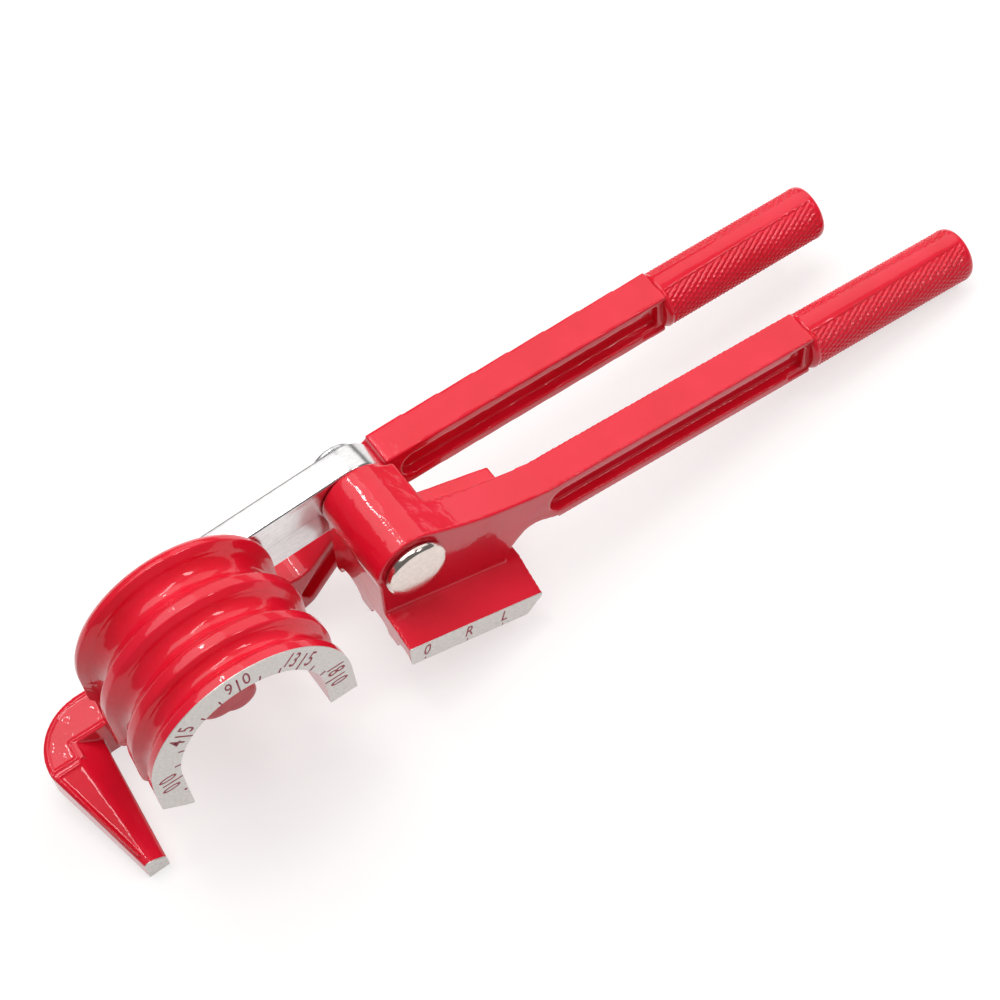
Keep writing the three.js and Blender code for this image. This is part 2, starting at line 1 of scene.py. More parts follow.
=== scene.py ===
# %% [markdown]
# # A hand tube bender on a white bench
# The real tool is three aluminium castings sprayed with glossy red paint, a bare aluminium link
# bar between them, and a chromed pin that you look down on. Its solids come from a CAD model that
# fixes every size and joint. This lesson dresses those solids: each casting is modelled again as
# one softened body, the machined faces stay bare, and the paint gets its orange peel.

import json
import math

import bmesh
import bpy
from mathutils import Matrix, Vector


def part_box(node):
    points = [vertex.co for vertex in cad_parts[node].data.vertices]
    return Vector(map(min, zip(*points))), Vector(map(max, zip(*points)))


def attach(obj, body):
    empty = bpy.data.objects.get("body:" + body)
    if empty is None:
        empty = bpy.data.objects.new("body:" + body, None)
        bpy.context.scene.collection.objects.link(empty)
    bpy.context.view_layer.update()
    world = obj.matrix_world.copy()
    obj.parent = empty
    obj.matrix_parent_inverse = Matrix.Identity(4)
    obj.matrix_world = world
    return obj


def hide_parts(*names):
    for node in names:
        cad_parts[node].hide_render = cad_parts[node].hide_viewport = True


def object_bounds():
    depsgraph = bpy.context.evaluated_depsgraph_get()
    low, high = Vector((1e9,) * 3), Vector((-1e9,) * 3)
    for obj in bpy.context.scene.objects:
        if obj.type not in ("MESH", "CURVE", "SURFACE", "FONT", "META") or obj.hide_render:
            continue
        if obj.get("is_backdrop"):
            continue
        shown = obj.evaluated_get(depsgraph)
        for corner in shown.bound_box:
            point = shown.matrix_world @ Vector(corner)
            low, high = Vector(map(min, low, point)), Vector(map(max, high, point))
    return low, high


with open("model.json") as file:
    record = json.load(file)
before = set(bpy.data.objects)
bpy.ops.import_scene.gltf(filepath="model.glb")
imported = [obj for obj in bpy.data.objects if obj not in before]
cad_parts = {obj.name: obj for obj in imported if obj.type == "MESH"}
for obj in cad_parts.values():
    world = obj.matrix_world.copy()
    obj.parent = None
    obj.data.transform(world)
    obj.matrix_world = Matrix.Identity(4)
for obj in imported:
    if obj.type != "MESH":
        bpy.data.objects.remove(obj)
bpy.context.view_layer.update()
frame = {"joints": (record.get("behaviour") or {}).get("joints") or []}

# %% [markdown]
# ## Where each casting is drawn
# A maker draws a casting square to its own datum, not tilted as it happens to lie on the bench.
# So each group gets a small frame of its own: a matrix that takes millimetres in the drawing to
# metres on the bench. X runs along the handle, Y from the scale face to the back, Z is up. The
# drum's frame sits on the drum's axis, and the others are placed from it, as the pins place them.

# %% Drawing frames
MM = 0.001
LEAN = 3.44
LINK_TURN = 3.1
LINK_REACH = 60.0
SHOE_TURN = 18.2
BEND_REACH = 46.0
HANDLE_RISE = 13.33


def moved(base, x=0.0, y=0.0, z=0.0, turn=0.0):
    """A frame shifted in millimetres and then turned about Y in degrees."""
    return base @ Matrix.Translation((x, y, z)) @ Matrix.Rotation(math.radians(turn), 4, "Y")


joints = {joint["name"]: joint for joint in frame["joints"]}
axis_x, _, axis_z = joints["link_swing"]["pos_m"]
scale_face_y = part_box("forming_drum")[0].y
BENCH = Matrix.Identity(4)
DRUM = (
    Matrix.Translation((axis_x, scale_face_y, axis_z))
    @ Matrix.Rotation(math.radians(LEAN), 4, "Y")
    @ Matrix.Scale(MM, 4)
)
LINK = moved(DRUM, turn=-LINK_TURN)
SHOE = moved(LINK, x=LINK_REACH, turn=LINK_TURN + SHOE_TURN)
MAIN_SHANK_STEP = moved(BENCH, x=74.0, z=-7.6, turn=2.1)
SHOE_SHANK_STEP = moved(BENCH, x=BEND_REACH, turn=-HANDLE_RISE)
print("drum axis at", [round(v, 4) for v in DRUM.translation])

# %% [markdown]
# ## Drawing with the mesh operators
# Three small helpers do nearly all the modelling. A plate is an outline seen from the front, made
# a face and extruded to its thickness; its corners are vertices that a bevel turns into arcs. A
# turned piece is half a profile spun about its own axis. A block is a cube stretched to its six
# faces. Each is poured into the mesh that it belongs to.

# %% Corners, extruding and pouring
CORNER_STEPS = 6


def verts_in(geom):
    """The vertices in what an operator gives back."""
    return [item for item in geom if isinstance(item, bmesh.types.BMVert)]


def edges_in(geom):
    """The edges in what an operator gives back."""
    return [item for item in geom if isinstance(item, bmesh.types.BMEdge)]


def rounded_corner(bm, vert, rounding, steps):
    """Bevels one corner of a wire into an arc."""
    bmesh.ops.bevel(
        bm, geom=[vert, *vert.link_edges], affect="VERTICES", offset=rounding,
        offset_type="OFFSET", segments=steps, profile=0.5, material=-1)


def extruded(part, faces, way):
    """Extrudes a face by a vector into a closed solid."""
    grown = bmesh.ops.extrude_face_region(part, geom=faces)["geom"]
    bmesh.ops.translate(part, verts=verts_in(grown), vec=way)
    bmesh.ops.recalc_face_normals(part, faces=part.faces[:])


def pour(bm, part, step=BENCH):
    """Moves one small mesh into a bigger one."""
    bmesh.ops.transform(part, matrix=step, verts=part.verts[:])
    carrier = bpy.data.meshes.new("carrier")
    part.to_mesh(carrier)
    part.free()
    bm.from_mesh(carrier)
    bpy.data.meshes.remove(carrier)


print("an arc is drawn in", CORNER_STEPS, "steps")


# %% Plates, turned pieces and blocks
def plate(bm, corners, front, back, step=BENCH):
    """A plate between two depths; its outline is (x, z, rounding) corners seen from the front."""
    part = bmesh.new()
    verts = [part.verts.new((x, front, z)) for x, z, _ in corners]
    for a, b in zip(verts, verts[1:] + verts[:1]):
        part.edges.new((a, b))
    for vert, (_, _, rounding) in zip(verts, corners):
        if rounding > 0:
            rounded_corner(part, vert, rounding, CORNER_STEPS)
    face = bmesh.ops.edgeloop_fill(part, edges=part.edges[:])["faces"]
    extruded(part, face, (0, back - front, 0))
    pour(bm, part, step)


def turned(bm, profile, x=0.0, z=0.0, steps=96):
    """A closed turned piece along Y from (radius, depth) pairs that start and end on the axis."""
    part = bmesh.new()
    verts = [part.verts.new((x, depth, z + radius)) for radius, depth in profile]
    for a, b in zip(verts, verts[1:]):
        part.edges.new((a, b))
    bmesh.ops.spin(
        part, geom=part.verts[:] + part.edges[:], cent=(x, 0, z), axis=(0, 1, 0),
        angle=2 * math.pi, steps=steps, use_merge=True)
    bmesh.ops.remove_doubles(part, verts=part.verts[:], dist=0.001)
    bmesh.ops.recalc_face_normals(part, faces=part.faces[:])
    pour(bm, part)


def block(bm, x, y, z, step=BENCH):
    """A box from pairs of low and high places."""
    part = bmesh.new()
    bmesh.ops.create_cube(part, size=1.0)
    size = [high - low for low, high in (x, y, z)]
    middle = [(high + low) / 2 for low, high in (x, y, z)]
    bmesh.ops.scale(part, vec=size, verts=part.verts[:])
    bmesh.ops.translate(part, vec=middle, verts=part.verts[:])
    pour(bm, part, step)


# %% [markdown]
# ## From loose solids to a casting
# A casting has no sharp inner corners, because sand or die leaves a small radius everywhere. The
# quickest way to that look is to let the solids overlap, cut the hollows with a Boolean, melt
# everything into one skin with a voxel remesh, and smooth it a few times. More smoothing rounds
# give a larger radius.

# %% Melting
def as_object(name, bm):
    """A mesh as an object of the scene."""
    mesh = bpy.data.meshes.new(name)
    bm.to_mesh(mesh)
    bm.free()
    obj = bpy.data.objects.new(name, mesh)
    bpy.context.scene.collection.objects.link(obj)
    return obj


def melted(solids, voxel, rounds, hollows=None):
    """One smooth skin around overlapping solids, less the hollows. All in millimetres."""
    core = as_object("core", solids)
    cutter = as_object("cutter", hollows) if hollows else None
    if cutter:
        cut = core.modifiers.new("Cut", "BOOLEAN")
        cut.operation = "DIFFERENCE"
        cut.solver = "EXACT"
        cut.use_self = True
        cut.object = cutter
    melt = core.modifiers.new("Melt", "REMESH")
    melt.mode = "VOXEL"
    melt.voxel_size = voxel
    soften = core.modifiers.new("Soften", "SMOOTH")
    soften.factor = 0.5
    soften.iterations = rounds
    graph = bpy.context.evaluated_depsgraph_get()
    bm = bmesh.new()
    bm.from_mesh(core.evaluated_get(graph).to_mesh())
    for used in filter(None, (core, cutter)):
        bpy.data.objects.remove(used)
    return bm


# %% [markdown]
# The machined faces are cut after the melt, so that they stay crisp. The last helper sets a piece
# down: it hangs it on the body it rides on, gives it its finish, and hides the solids it stands
# for.

# %% Cutting and finishing
def cut_flat(bm, point, normal, geom=None):
    """Cuts off what lies beyond a plane and fills the cut with one flat face."""
    geom = geom or bm.verts[:] + bm.edges[:] + bm.faces[:]
    made = bmesh.ops.bisect_plane(
        bm, geom=geom, plane_co=point, plane_no=normal, clear_outer=True, dist=0.0001)
    bmesh.ops.edgeloop_fill(bm, edges=edges_in(made["geom_cut"]))


def finished(name, bm, step, material, body, replaces=(), sharp=None):
    """Puts a mesh in its place on the bench, hangs it on its body and hides the solids it replaces.
    """
    bmesh.ops.transform(bm, matrix=step, verts=bm.verts[:])
    bmesh.ops.recalc_face_normals(bm, faces=bm.faces[:])
    triangles = sum(len(face.verts) - 2 for face in bm.faces)
    obj = as_object(name, bm)
    obj.data.materials.append(material)
    for face in obj.data.polygons:
        face.use_smooth = True
    if sharp:
        obj.data.set_sharp_from_angle(angle=math.radians(sharp))
    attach(obj, body)
    if replaces:
        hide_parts(*replaces)
    lowest = min(corner[2] for corner in obj.bound_box)
    print(f"{name}: {triangles} triangles, lowest {1000 * lowest:.2f} mm")


# %% [markdown]
# ## The finishes
# Each finish starts as noise on the object's own coordinates, so that it stays on the piece when a
# joint moves it. The noise goes two ways: into a bump, which gives the relief, and into a colour
# ramp, which gives the shade. Five helpers make those nodes.

# %% Node helpers
def new_material(name):
    """A material, its node tree and its main shader."""
    material = bpy.data.materials.new(name)
    material.use_nodes = True
    return material, material.node_tree, material.node_tree.nodes["Principled BSDF"]


def noise(tree, place, scale, detail=2.0, rough=0.5, stretch=(1, 1, 1)):
    """Noise on the object's own coordinates, in metres; scale is in waves to the metre."""
    mapping = tree.nodes.new("ShaderNodeMapping")
    mapping.inputs["Scale"].default_value = stretch
    tree.links.new(place.outputs["Object"], mapping.inputs["Vector"])
    node = tree.nodes.new("ShaderNodeTexNoise")
    node.inputs["Scale"].default_value = scale
    node.inputs["Detail"].default_value = detail
    node.inputs["Roughness"].default_value = rough
    tree.links.new(mapping.outputs["Vector"], node.inputs["Vector"])
    return node.outputs["Fac"]


def scaled(tree, value, factor, plus=None):
    """value * factor + plus, as one math node."""
    node = tree.nodes.new("ShaderNodeMath")
    node.operation = "MULTIPLY_ADD"
    tree.links.new(value, node.inputs[0])
    node.inputs[1].default_value = factor
    node.inputs[2].default_value = 0.0
    if plus is not None:
        tree.links.new(plus, node.inputs[2])
    return node.outputs[0]


def tinted(tree, value, low, high, colors):
    """A colour ramp between two places of a value."""
    ramp = tree.nodes.new("ShaderNodeValToRGB")
    ramp.color_ramp.elements[0].position = low
    ramp.color_ramp.elements[1].position = high
    ramp.color_ramp.elements[0].color = (*colors[0], 1)
    ramp.color_ramp.elements[1].color = (*colors[1], 1)
    tree.links.new(value, ramp.inputs["Fac"])
    return ramp.outputs["Color"]


def bumped(tree, shader, height, sockets=("Normal",)):
    """A bump whose height is in metres."""
    bump = tree.nodes.new("ShaderNodeBump")
    bump.inputs["Strength"].default_value = 1.0
    bump.inputs["Distance"].default_value = 1.0
    tree.links.new(height, bump.inputs["Height"])
    for socket in sockets:
        tree.links.new(bump.outputs["Normal"], shader.inputs[socket])

# %% [markdown]
# Sprayed paint is a strong red under a clear, wet-looking skin. It is never quite flat: a long
# lazy wave, a short ripple and a fine orange peel make the lamps' mirror images wriggle. The three
# are added up and bump the paint and its clear coat alike.

# %% Red paint
def red_paint(name):
    """Gloss red: three sizes of unevenness, each as (waves to the metre, height in metres)."""
    material, tree, shader = new_material(name)
    place = tree.nodes.new("ShaderNodeTexCoord")
    height = None
    for waves, rise in ((130.0, 0.00014), (380.0, 0.00005), (1000.0, 0.00002)):
        height = scaled(tree, noise(tree, place, waves, detail=1.0), rise, height)
    bumped(tree, shader, height, ("Normal", "Coat Normal"))
    cloud = noise(tree, place, 60.0, detail=3.0)
    tree.links.new(
        tinted(tree, cloud, 0.35, 0.65, ((0.84, 0.006, 0.026), (0.90, 0.010, 0.038))),
        shader.inputs["Base Color"])
    shader.inputs["Roughness"].default_value = 0.35
    shader.inputs["Specular IOR Level"].default_value = 0.15
    shader.inputs["Coat Weight"].default_value = 1.0
    shader.inputs["Coat Roughness"].default_value = 0.02
    shader.inputs["Coat IOR"].default_value = 1.42
    return material


RED_PAINT = red_paint("gloss_red_enamel")
print("the red paint has", len(RED_PAINT.node_tree.nodes), "nodes")

# %% [markdown]
# The machined aluminium has fine cutter streaks, the link is tumbled smooth, the pin you see is
# chromed and the hidden ones are zinc plated. That is one recipe with four sets of numbers: the
# streaks are noise squeezed along one axis. The stamped marks hold a dull dark red.

# %% Bare metals
def bare_metal(name, color, rough, streak_scale, streak_height, stretch, metallic=1.0, dark=0.86):
    """Bare metal with fine streaks, the darkest of them a share of the full colour."""
    material, tree, shader = new_material(name)
    place = tree.nodes.new("ShaderNodeTexCoord")
    streak = noise(tree, place, streak_scale, detail=4.0, rough=0.6, stretch=stretch)
    bumped(tree, shader, scaled(tree, streak, streak_height))
    darker = tuple(dark * c for c in color)
    tree.links.new(tinted(tree, streak, 0.3, 0.7, (darker, color)), shader.inputs["Base Color"])
    shader.inputs["Metallic"].default_value = metallic
    shader.inputs["Roughness"].default_value = rough
    return material


MACHINED = bare_metal("machined_aluminium", (0.82, 0.78, 0.75), 0.45, 900, 0.00002, (1, 1, 4),
                      metallic=0.7, dark=0.7)
TUMBLED = bare_metal("tumbled_aluminium", (0.82, 0.80, 0.80), 0.22, 500, 0.000003, (1, 2, 2))
CHROME = bare_metal("chromed_pin", (0.76, 0.67, 0.62), 0.16, 700, 0.000006, (1, 1, 1))
PLATED = bare_metal("zinc_plated_steel", (0.72, 0.72, 0.73), 0.28, 900, 0.00001, (1, 1, 1))


def mark_paint():
    """The dull dark red that fills the stamped marks, a little patchy."""
    material, tree, shader = new_material("mark_paint")
    place = tree.nodes.new("ShaderNodeTexCoord")
    patchy = noise(tree, place, 1500.0, detail=2.0)
    tree.links.new(
        tinted(tree, patchy, 0.35, 0.7, ((0.36, 0.02, 0.05), (0.50, 0.06, 0.10))),
        shader.inputs["Base Color"])
    shader.inputs["Roughness"].default_value = 0.45
    return material


MARK_PAINT = mark_paint()
print("finishes:", [m.name for m in (RED_PAINT, MACHINED, TUMBLED, CHROME, PLATED, MARK_PAINT)])

# %% [markdown]
# ## The forming drum
# The heart of the tool is a half ring with three round grooves, one for each tube size. It is
# drawn as one section and spun half a turn. Each groove's arc is itself a vertex spun about the
# groove's centre, and the ridges between them get small rounded lips.

# %% Draw the drum's section
CREST = 30.47
INNER = 22.0
GROOVES = ((6.65, 3.15, 0.7), (19.0, 4.15, 1.3), (33.85, 5.15, 1.2))
FLANK = 22.0
RING_BACK = 43.3
LIP_ROUNDING = 0.35
MOUTH_ROUNDING = 0.6


def drum_section(bm):
    """The drum's section at its left side, with its lips and the grooves' mouths rounded."""
    radius_at = -CREST
    verts = [bm.verts.new((-INNER, 0, 0)), bm.verts.new((radius_at, 0, 0))]
    lips, soft = [], []
    for centre, radius, flare in GROOVES:
        mouth = bm.verts.new((radius_at, centre - radius - flare, 0))
        a = math.radians(FLANK)
        start = bm.verts.new((radius_at + radius * math.sin(a), centre - radius * math.cos(a), 0))
        turn = math.pi - 2 * a
        arc = bmesh.ops.spin(
            bm, geom=[start], cent=(radius_at, centre, 0), axis=(0, 0, 1), angle=turn, steps=16)
        end = verts_in(arc["geom_last"])[0]
        far = bm.verts.new((radius_at, centre + radius + flare, 0))
        bm.edges.new((verts[-1], mouth))
        bm.edges.new((mouth, start))
        bm.edges.new((end, far))
        verts.append(far)
        lips += [mouth, far]
        soft += [start, end]
    rim = [bm.verts.new(p) for p in ((-30.3, 41.9, 0), (-29.4, RING_BACK, 0),
                                     (-INNER, RING_BACK, 0))]
    for a, b in zip([verts[1 + len(GROOVES)], *rim], [*rim, verts[0]]):
        bm.edges.new((a, b))
    bm.edges.new((verts[0], verts[1]))
    for corners, rounding in ((lips + rim[:2], LIP_ROUNDING), (soft, MOUTH_ROUNDING)):
        for corner in corners:
            rounded_corner(bm, corner, rounding, 4)


section = bmesh.new()
drum_section(section)
print("section corners:", len(section.verts))

# %% [markdown]
# The two feet are the section's ends pushed straight down and cut off flat. Two small cuts at 30
# and 60 degrees round each outer corner, which is worn soft on the real tool.

# %% Spin the drum and cut its feet
FOOT_STOCK = 20
LEFT_FOOT = -12.1
RIGHT_FOOT = -11.0
CORNER_TRIM = 0.05455
CORNER_ANGLES = (30, 60)
ring = bmesh.ops.spin(
    section, geom=section.verts[:] + section.edges[:], cent=(0, 0, 0), axis=(0, 1, 0),
    angle=math.pi, steps=96)
last = edges_in(ring["geom_last"])
first = [e for e in section.edges if e.is_boundary and all(v.co.x < 0 for v in e.verts)]
for loop in (first, last):
    down = bmesh.ops.extrude_edge_only(section, edges=loop)["geom"]
    bmesh.ops.translate(section, verts=verts_in(down), vec=(0, 0, -FOOT_STOCK))
bmesh.ops.holes_fill(section, edges=[e for e in section.edges if e.is_boundary], sides=0)
bmesh.ops.recalc_face_normals(section, faces=section.faces[:])


def foot(bm, side):
    """What hangs below the drum's axis on one side."""
    faces = [f for f in bm.faces if side * f.calc_center_median().x > 0 and
             f.calc_center_median().z < 0]
    return list({e for f in faces for e in (*f.verts, *f.edges, f)})


cut_flat(section, (-28, 0, -12.5), (-5, 0, -6), foot(section, -1))
cut_flat(section, (28, 0, RIGHT_FOOT), (0, 0, -1), foot(section, 1))
for side, low in ((-1, LEFT_FOOT), (1, RIGHT_FOOT)):
    for angle in CORNER_ANGLES:
        tilt = math.radians(angle)
        normal = Vector((side * math.cos(tilt), 0, -math.sin(tilt)))
        corner = Vector((side * CREST, 0, low)) - normal * CORNER_TRIM
        cut_flat(section, corner, normal, foot(section, side))
print("drum faces:", len(section.faces))

# %% [markdown]
# The front of the drum is machined bare after painting, and the scale is stamped there. So a thin
# skin of the front is split off as a piece of its own: the same mesh, cut once from each side.

# %% Split off the machined face
FACE_SKIN = 0.28
face_skin = section.copy()
cut_flat(section, (0, FACE_SKIN, 0), (0, -1, 0))
cut_flat(face_skin, (0, FACE_SKIN, 0), (0, 1, 0))
for vert in face_skin.verts:
    vert.co.y = max(vert.co.y, 0.03)
finished("forming_drum_casting", section, DRUM, RED_PAINT, "main_casting",
         ("forming_drum",), sharp=40)
finished("drum_scale_face", face_skin, DRUM, MACHINED, "main_casting", sharp=30)

# %% [markdown]
# ## Stamped marks
# The scale reads from 0 to 180 in steps of 45, with the long tick between the digits. A long tick
# stands every 45 degrees and a short one every 15. On the real tool they are stamped and filled
# with red paint. Here they are text turned into mesh, laid in the face so that they stand only a
# few hundredths proud, because an engraving that fine would show the same.

# %% Text and ticks
PROUD = 0.05
SHORT_TICK = 23.9
LONG_TICK = 28.1
DIGIT_SIZE = 7.4
DIGIT_RADIUS = 25.7
FROM_TICK = 2.6


def mesh_of(curve):
    """A text or a curve as a mesh."""
    obj = bpy.data.objects.new("pattern", curve)
    bpy.context.scene.collection.objects.link(obj)
    graph = bpy.context.evaluated_depsgraph_get()
    bm = bmesh.new()
    bm.from_mesh(obj.evaluated_get(graph).to_mesh())
    bpy.data.objects.remove(obj)
    return bm


def lettered(bm, text, size, step, wide):
    """One word as a thin solid, centred, upright in the front view."""
    curve = bpy.data.curves.new("word", "FONT")
    curve.body = text
    curve.size = size
    curve.align_x = "CENTER"
    curve.align_y = "CENTER"
    curve.extrude = PROUD
    curve.offset = 0.045
    word = mesh_of(curve)
    bmesh.ops.scale(word, vec=(wide, 1, 1), verts=word.verts[:])
    bmesh.ops.rotate(word, matrix=Matrix.Rotation(math.pi / 2, 3, "X"), verts=word.verts[:])
    pour(bm, word, step)


def on_scale(degrees, radius):
    """A frame on the scale face at an angle from the 0 mark, its Z pointing outwards."""
    return moved(moved(BENCH, y=PROUD, turn=degrees - 90), z=radius)


marks = bmesh.new()
for degrees in range(0, 181, 15):
    reach = SHORT_TICK if degrees % 45 else LONG_TICK
    block(marks, (-0.25, 0.25), (-PROUD, PROUD), (INNER + 0.05, reach), on_scale(degrees, 0))
for degrees in range(0, 181, 45):
    word = f"{degrees:02d}"
    left, right = word[:-1], word[-1]
    before = moved(on_scale(degrees, DIGIT_RADIUS), x=-FROM_TICK - 1.5 * (len(left) - 1))
    after = moved(on_scale(degrees, DIGIT_RADIUS), x=FROM_TICK)
    lettered(marks, right, DIGIT_SIZE, after, wide=0.62)
    lettered(marks, left, DIGIT_SIZE, before, wide=0.62)
turned(marks, [(0, 0.0), (0.45, 0.0), (0.45, 0.1), (0, 0.1)], -22.8, -7.5, steps=16)
finished("drum_scale_marks", marks, DRUM, MARK_PAINT, "main_casting")

# %% [markdown]
# ## The web behind the drum
# Behind the grooves the casting closes with a flat web. It carries two bosses for the pins, a rib
# between them, and two legs that reach down to the bench side of the tool. Its back stands a little
# lower than the ring's, because two faces in one plane render black.

# %% Melt the web, its bosses and the rib
LATCH_PIVOT = -25
BOSS_END = 41.5
LEG_SIDE = 29.2
web = bmesh.new()
plate(web, [(-28.9, 3, 0), (-28.9, 12, 9), (-20, 21, 4), (-8, 28.2, 8), (8, 28.2, 8), (20, 21, 4),
            (28.9, 12, 9), (28.9, 3, 0), (LEG_SIDE, 0, 0), (LEG_SIDE, -45.8, 6),
            (-LEG_SIDE, -45.8, 6), (-LEG_SIDE, 0, 0)], 40.2, RING_BACK - 0.15)
turned(web, [(0, 30.2), (8.2, 30.2), (9.0, 31.0), (9.4, BOSS_END), (0, BOSS_END)])
turned(web, [(0, 25.2), (6.8, 25.2), (7.5, 26.0), (8.0, BOSS_END), (0, BOSS_END)], 0, LATCH_PIVOT)
turned(web, [(0, 25.2), (5.2, 25.2), (5.8, 26.0), (6.3, BOSS_END), (0, BOSS_END)], 5, -28.5)
block(web, (-6, 6), (30.2, BOSS_END), (LATCH_PIVOT, 0))
web_bm = melted(web, voxel=0.42, rounds=8)
finished("drum_web_casting", web_bm, DRUM, RED_PAINT, "main_casting",
         ("drum_back_plate",))

# %% [markdown]
# ## The main handle
# Both handles have the same flat shank, with a long blind slot in each side that keeps the casting
# light and even in wall. So the shank is one helper: a block, two slots and a slimmer neck at the
# grip. The hollows go into a mesh of their own, which is cut out before the melt.

# %% Shank
SHANK_WIDTH = 11.4
SHANK_HALF = 8.0
SLOT_HALF = 4.7
SLOT_DEPTH = 3.6
NECK_HALF = 6.2
NECK_DEPTH = 0.9
OVERCUT = 2


def shank(solids, hollows, start, end, slot_start, front, step):
    """A flat shank with a long slot in both sides and a slimmer neck at the grip."""
    back = front + SHANK_WIDTH
    block(solids, (start, end), (front, back), (-SHANK_HALF, SHANK_HALF), step)
    slot_end = end - 2.6
    slot = [(slot_start, -SLOT_HALF, 4.4), (slot_end, -SLOT_HALF, 0.8),
            (slot_end, SLOT_HALF, 0.8), (slot_start, SLOT_HALF, 4.4)]
    neck_start, neck_end = slot_end - 6, end + OVERCUT
    neck = [(neck_start, -NECK_HALF, 0), (neck_end, -NECK_HALF, 0), (neck_end, NECK_HALF, 0),
            (neck_start, NECK_HALF, 0)]
    for outline, depth in ((slot, SLOT_DEPTH), (neck, NECK_DEPTH)):
        plate(hollows, outline, front - OVERCUT, front + depth, step)
        plate(hollows, outline, back - depth, back + OVERCUT, step)


print("both shanks are", SHANK_WIDTH, "mm thick and", 2 * SHANK_HALF, "mm high")

# %% [markdown]
# The rear handle grows out of the web. Its arm dips under the link's round end and stands nearly
# on the bench, which leans against the drawing. Arm and shank are one body on the real tool, so
# they are melted together here.

# %% Arm
BENCH_CROSSING = 800


def bench_under(x):
    """The bench's height under a place, in the drum's frame, whose X axis meets it far out."""
    return math.tan(math.radians(LEAN)) * (x - BENCH_CROSSING)


ARM_FRONT = 48
ROOT_X = 12
HEEL_X = 40.5
STAND = 0.1
root_floor = bench_under(ROOT_X)
heel_floor = bench_under(HEEL_X)
arm, arm_hollows = bmesh.new(), bmesh.new()
plate(arm, [(74.3, 0.4, 0), (72.1, -1.3, 0), (45.5, -25.4, 3), (HEEL_X, heel_floor + 16, 4),
            (ROOT_X, root_floor + 25, 2), (ROOT_X, root_floor + STAND, 2),
            (HEEL_X, heel_floor + STAND, 3), (50.9, heel_floor + 11, 4), (74, -15.6, 2)],
      ARM_FRONT, ARM_FRONT + SHANK_WIDTH)
plate(arm, [(ROOT_X, root_floor + 25, 1), (ROOT_X, root_floor + STAND, 1),
            (LEG_SIDE, bench_under(LEG_SIDE) + STAND, 1), (LEG_SIDE, heel_floor + 16, 3)],
      BOSS_END, 50)
plate(arm_hollows, [(69.5, -6.6, 1), (47.0, -27.0, 3), (37.5, -38.5, 1.5), (40.3, -42.0, 1),
                    (49.2, -32.8, 3), (72.3, -13.9, 1)], 46, 51.6)
shank(arm, arm_hollows, start=-1.6, end=95.8, slot_start=3.0, front=ARM_FRONT,
      step=MAIN_SHANK_STEP)
arm_bm = melted(arm, voxel=0.45, rounds=4, hollows=arm_hollows)
finished("main_handle_casting", arm_bm, DRUM, RED_PAINT, "main_casting",
         ("main_handle_arm", "main_handle_shank"))

# %% [markdown]
# ## The shoe casting
# The second casting is the one you pull. A barrel hub takes the pivot pin, and a flat shoulder
# runs from it into the handle. Behind the shoulder two more plates fill the casting up to the hub.

# %% Hub and shoulder
HUB = 11
HUB_FRONT = 14.7
SHOE_TOP = -18
SHOE_END = 40.5
SHOE_BACK = 41.6
shoe, shoe_hollows = bmesh.new(), bmesh.new()
turned(shoe, [(0, HUB_FRONT), (HUB, HUB_FRONT), (HUB, RING_BACK), (0, RING_BACK)])
plate(shoe, [(-4, 10.4, 0), (-HUB, 0, 0), (-5.9, SHOE_TOP, 0), (35.4, SHOE_TOP, 0),
             (35.4, -14.5, 0), (37, -10, 4), (41.6, -4.6, 4), (51.8, -6.4, 0), (53.7, 1.7, 0),
             (51.8, 9.4, 0), (44.2, 7.8, 0), (33.1, 7.3, 6), (18.4, 7.7, 6), (2, 10.8, 0)],
      HUB_FRONT, 26.1)
plate(shoe, [(-4, 10.3, 0), (-HUB, 0, 0), (-5.9, SHOE_TOP, 0), (11, SHOE_TOP, 2),
             (10.6, 7.4, 0.8), (9.6, 9.4, 0.8), (2, 10.8, 0)], 25.0, SHOE_BACK)
plate(shoe, [(0, 2.6, 0), (0, SHOE_TOP, 0), (SHOE_END, SHOE_TOP, 0), (38.5, 1.2, 0.6),
             (11, 2.6, 0)], 24.1, 34.5)
print("hub and shoulder:", len(shoe.faces), "faces before the melt")

# %% [markdown]
# Under the shoulder hangs the shoe. It starts as a block: one cut makes the ledge that slopes
# forward from the hub to the machined strip, and two more bevel its ends. Its underside takes the
# same three grooves as the drum, so that they close round a tube.

# %% Shoe, grooves and shank
SHOE_FOOT = -29
strip = bmesh.new()
block(strip, (-14, SHOE_END), (0.5, SHOE_BACK), (SHOE_FOOT, SHOE_TOP))
bmesh.ops.bisect_plane(
    strip, geom=strip.verts[:] + strip.edges[:] + strip.faces[:],
    plane_co=(0, HUB_FRONT, SHOE_TOP), plane_no=(0, -3.2, 12.2), clear_outer=True)
bmesh.ops.holes_fill(strip, edges=strip.edges[:], sides=0)
cut_flat(strip, (-HUB, 0, 0), (-29, 0, -8.2))
cut_flat(strip, (SHOE_END, 0, -22.5), (6.5, 0, -3.5))
pour(shoe, strip)
for centre, radius, _ in GROOVES:
    groove = bmesh.new()
    bmesh.ops.create_circle(groove, segments=48, radius=radius, cap_ends=True)
    bmesh.ops.rotate(groove, matrix=Matrix.Rotation(math.pi / 2, 3, "Y"), verts=groove.verts[:])
    bmesh.ops.translate(groove, vec=(-20, centre, SHOE_FOOT), verts=groove.verts[:])
    extruded(groove, groove.faces[:], (70, 0, 0))
    pour(shoe_hollows, groove)
shank(shoe, shoe_hollows, start=4.0, end=94.5, slot_start=1.0, front=HUB_FRONT,
      step=SHOE_SHANK_STEP)
shoe_bm = melted(shoe, voxel=0.45, rounds=4, hollows=shoe_hollows)
